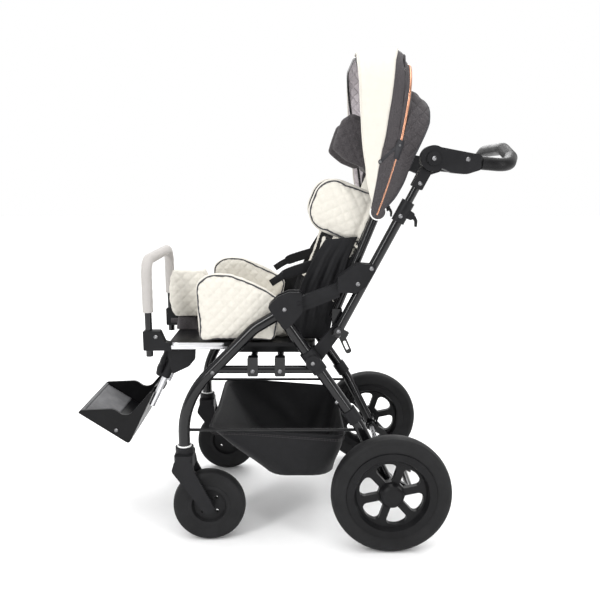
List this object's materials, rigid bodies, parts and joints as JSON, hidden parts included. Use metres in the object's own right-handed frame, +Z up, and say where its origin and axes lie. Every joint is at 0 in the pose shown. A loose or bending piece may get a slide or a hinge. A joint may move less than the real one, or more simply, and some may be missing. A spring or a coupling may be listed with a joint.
{
  "type": "special needs stroller",
  "caption": "Folding special needs stroller with padded seat, reclining back, head and trunk supports, canopy, bumper bar, legrest with footplate, basket and tilting push handle.",
  "frame": {"origin": "on the floor, under the middle of the whole object", "axes": "+Z up, -X the way the stroller drives, -Y its left side"},
  "size_m": [1.113, 0.594, 1.2254],
  "materials": {
    "frame_black": "gloss",
    "housing_charcoal": "satin",
    "wheel_black": "satin",
    "tyre_black": "matte",
    "fabric_cream": "matte",
    "fabric_grey": "matte",
    "fabric_black": "matte",
    "foam_grey": "matte",
    "grip_black": "matte",
    "axle_steel": "brushed",
    "silver_tube": "satin"
  },
  "bodies": {
    "chassis": {"front_leg_left": "frame_black", "front_leg_right": "frame_black", "junction_housing_left": "housing_charcoal", "junction_housing_right": "housing_charcoal", "rear_leg_left": "frame_black", "rear_leg_right": "frame_black", "rear_collars": "housing_charcoal", "rear_axle": "axle_steel", "cross_tubes": "frame_black", "side_braces": "frame_black", "seat_rails": "silver_tube", "seat_board": "housing_charcoal", "seat_cushion": "fabric_cream", "front_brackets": "housing_charcoal", "pommel_base": "housing_charcoal", "basket": "fabric_black", "side_guard_left": "fabric_cream", "side_guard_right": "fabric_cream"},
    "push_frame": {"side_links": "housing_charcoal", "height_clamps": "housing_charcoal", "upper_housing_left": "housing_charcoal", "upper_housing_right": "housing_charcoal", "push_tube_left": "frame_black", "push_tube_right": "frame_black"},
    "latch": {"fold_latch": "frame_black"},
    "lever_left": {"clamp_lever_left": "housing_charcoal"},
    "lever_right": {"clamp_lever_right": "housing_charcoal"},
    "handle_post": {"inner_tubes": "frame_black", "hinge_brackets": "housing_charcoal"},
    "handle": {"handle_tube": "frame_black", "handle_grip": "grip_black", "handle_joint_covers": "housing_charcoal"},
    "backrest": {"backrest_frame": "frame_black", "backrest_cushion": "fabric_cream", "headrest_pad": "fabric_grey", "canopy_rear_panel": "fabric_grey"},
    "canopy_middle": {"canopy_middle_bow": "frame_black", "canopy_middle_panel": "fabric_grey"},
    "canopy_front": {"canopy_front_bow": "frame_black", "canopy_visor": "fabric_cream"},
    "wing_left": {"head_wing_left": "fabric_grey"},
    "wing_right": {"head_wing_right": "fabric_grey"},
    "trunk_left": {"trunk_support_left": "fabric_cream"},
    "trunk_right": {"trunk_support_right": "fabric_cream"},
    "legrest": {"legrest_frame": "housing_charcoal", "calf_panel": "fabric_black"},
    "footrest": {"footrest_tubes": "silver_tube"},
    "foot_tray": {"footplate": "housing_charcoal"},
    "bumper": {"bumper_bar": "frame_black", "bumper_foam": "foam_grey"},
    "knee_block": {"pommel": "fabric_cream"},
    "fork_left": {"caster_fork_left": "housing_charcoal"},
    "fork_right": {"caster_fork_right": "housing_charcoal"},
    "front_roller_left": {"front_wheel_left": "wheel_black"},
    "front_roller_right": {"front_wheel_right": "wheel_black"},
    "rear_roller_left": {"rear_rim_left": "wheel_black", "rear_tyre_left": "tyre_black"},
    "rear_roller_right": {"rear_rim_right": "wheel_black", "rear_tyre_right": "tyre_black"},
    "brake": {"brake_pedal": "frame_black"}
  },
  "joints": [
    {"name": "frame_fold", "type": "hinge", "parent": "chassis", "child": "push_frame", "pos_m": [0.014, 0, 0.61], "axis": [0, 1, 0], "range_deg": [-82, 0]},
    {"name": "handle_height", "type": "slide", "parent": "push_frame", "child": "handle_post", "axis": [0.4633, 0, 0.8862], "range_m": [-0.03, 0.09]},
    {"name": "handle_tilt", "type": "hinge", "parent": "handle_post", "child": "handle", "pos_m": [0.33797, 0, 0.9619], "axis": [0, 1, 0], "range_deg": [-60, 30]},
    {"name": "backrest_recline", "type": "hinge", "parent": "push_frame", "child": "backrest", "pos_m": [0.123, 0, 0.5507], "axis": [0, 1, 0], "range_deg": [0, 12]},
    {"name": "canopy_open", "type": "hinge", "parent": "backrest", "child": "canopy_middle", "pos_m": [0.21693, 0, 0.83735], "axis": [0, -1, 0], "range_deg": [0, 38]},
    {"name": "canopy_front_open", "type": "hinge", "parent": "canopy_middle", "child": "canopy_front", "pos_m": [0.21693, 0, 0.83735], "axis": [0, -1, 0], "range_deg": [0, 38]},
    {"name": "head_wing_left_turn", "type": "hinge", "parent": "backrest", "child": "wing_left", "pos_m": [0.22622, -0.112, 0.98442], "axis": [-0.3714, 0, -0.9285], "range_deg": [0, 20]},
    {"name": "head_wing_right_turn", "type": "hinge", "parent": "backrest", "child": "wing_right", "pos_m": [0.22622, 0.112, 0.98442], "axis": [0.3714, 0, 0.9285], "range_deg": [0, 20]},
    {"name": "trunk_left_turn", "type": "hinge", "parent": "backrest", "child": "trunk_left", "pos_m": [0.19837, -0.155, 0.81246], "axis": [-0.3714, 0, -0.9285], "range_deg": [0, 15]},
    {"name": "trunk_right_turn", "type": "hinge", "parent": "backrest", "child": "trunk_right", "pos_m": [0.19837, 0.155, 0.81246], "axis": [0.3714, 0, 0.9285], "range_deg": [0, 15]},
    {"name": "legrest_angle", "type": "hinge", "parent": "chassis", "child": "legrest", "pos_m": [-0.29, 0, 0.474], "axis": [0, 1, 0], "range_deg": [-15, 60]},
    {"name": "footrest_length", "type": "slide", "parent": "legrest", "child": "footrest", "axis": [-0.4415, 0, -0.8973], "range_m": [0, 0.06]},
    {"name": "footplate_flip", "type": "hinge", "parent": "footrest", "child": "foot_tray", "pos_m": [-0.3421, 0, 0.36812], "axis": [0, 1, 0], "range_deg": [0, 40]},
    {"name": "bumper_lift", "type": "slide", "parent": "chassis", "child": "bumper", "axis": [0, 0, 1], "range_m": [0, 0.05]},
    {"name": "pommel_lift", "type": "slide", "parent": "chassis", "child": "knee_block", "axis": [0, 0, 1], "range_m": [0, 0.06]},
    {"name": "caster_left_swivel", "type": "hinge", "parent": "chassis", "child": "fork_left", "pos_m": [-0.263, -0.212, 0.25], "axis": [0, 0, 1], "continuous": true},
    {"name": "caster_right_swivel", "type": "hinge", "parent": "chassis", "child": "fork_right", "pos_m": [-0.263, 0.212, 0.25], "axis": [0, 0, 1], "continuous": true},
    {"name": "front_wheel_left_spin", "type": "hinge", "parent": "fork_left", "child": "front_roller_left", "pos_m": [-0.203, -0.212, 0.093], "axis": [0, 1, 0], "continuous": true},
    {"name": "front_wheel_right_spin", "type": "hinge", "parent": "fork_right", "child": "front_roller_right", "pos_m": [-0.203, 0.212, 0.093], "axis": [0, 1, 0], "continuous": true},
    {"name": "rear_wheel_left_spin", "type": "hinge", "parent": "chassis", "child": "rear_roller_left", "pos_m": [0.255, -0.2705, 0.15], "axis": [0, 1, 0], "continuous": true},
    {"name": "rear_wheel_right_spin", "type": "hinge", "parent": "chassis", "child": "rear_roller_right", "pos_m": [0.255, 0.2705, 0.15], "axis": [0, 1, 0], "continuous": true},
    {"name": "brake_press", "type": "hinge", "parent": "chassis", "child": "brake", "pos_m": [0.255, 0, 0.15], "axis": [0, 1, 0], "range_deg": [0, 18]},
    {"name": "clamp_lever_left_open", "type": "hinge", "parent": "push_frame", "child": "lever_left", "pos_m": [0.29307, -0.212, 0.82852], "axis": [0, -1, 0], "range_deg": [0, 60]},
    {"name": "clamp_lever_right_open", "type": "hinge", "parent": "push_frame", "child": "lever_right", "pos_m": [0.29307, 0.212, 0.82852], "axis": [0, -1, 0], "range_deg": [0, 60]},
    {"name": "fold_latch_pull", "type": "hinge", "parent": "push_frame", "child": "latch", "pos_m": [0.123, 0, 0.5507], "axis": [0, -1, 0], "range_deg": [0, 20], "stiffness_Nm_per_rad": 1}
  ],
  "couplings": [
    {"joint": "canopy_front_open", "follows": "canopy_open", "ratio": 1}
  ]
}
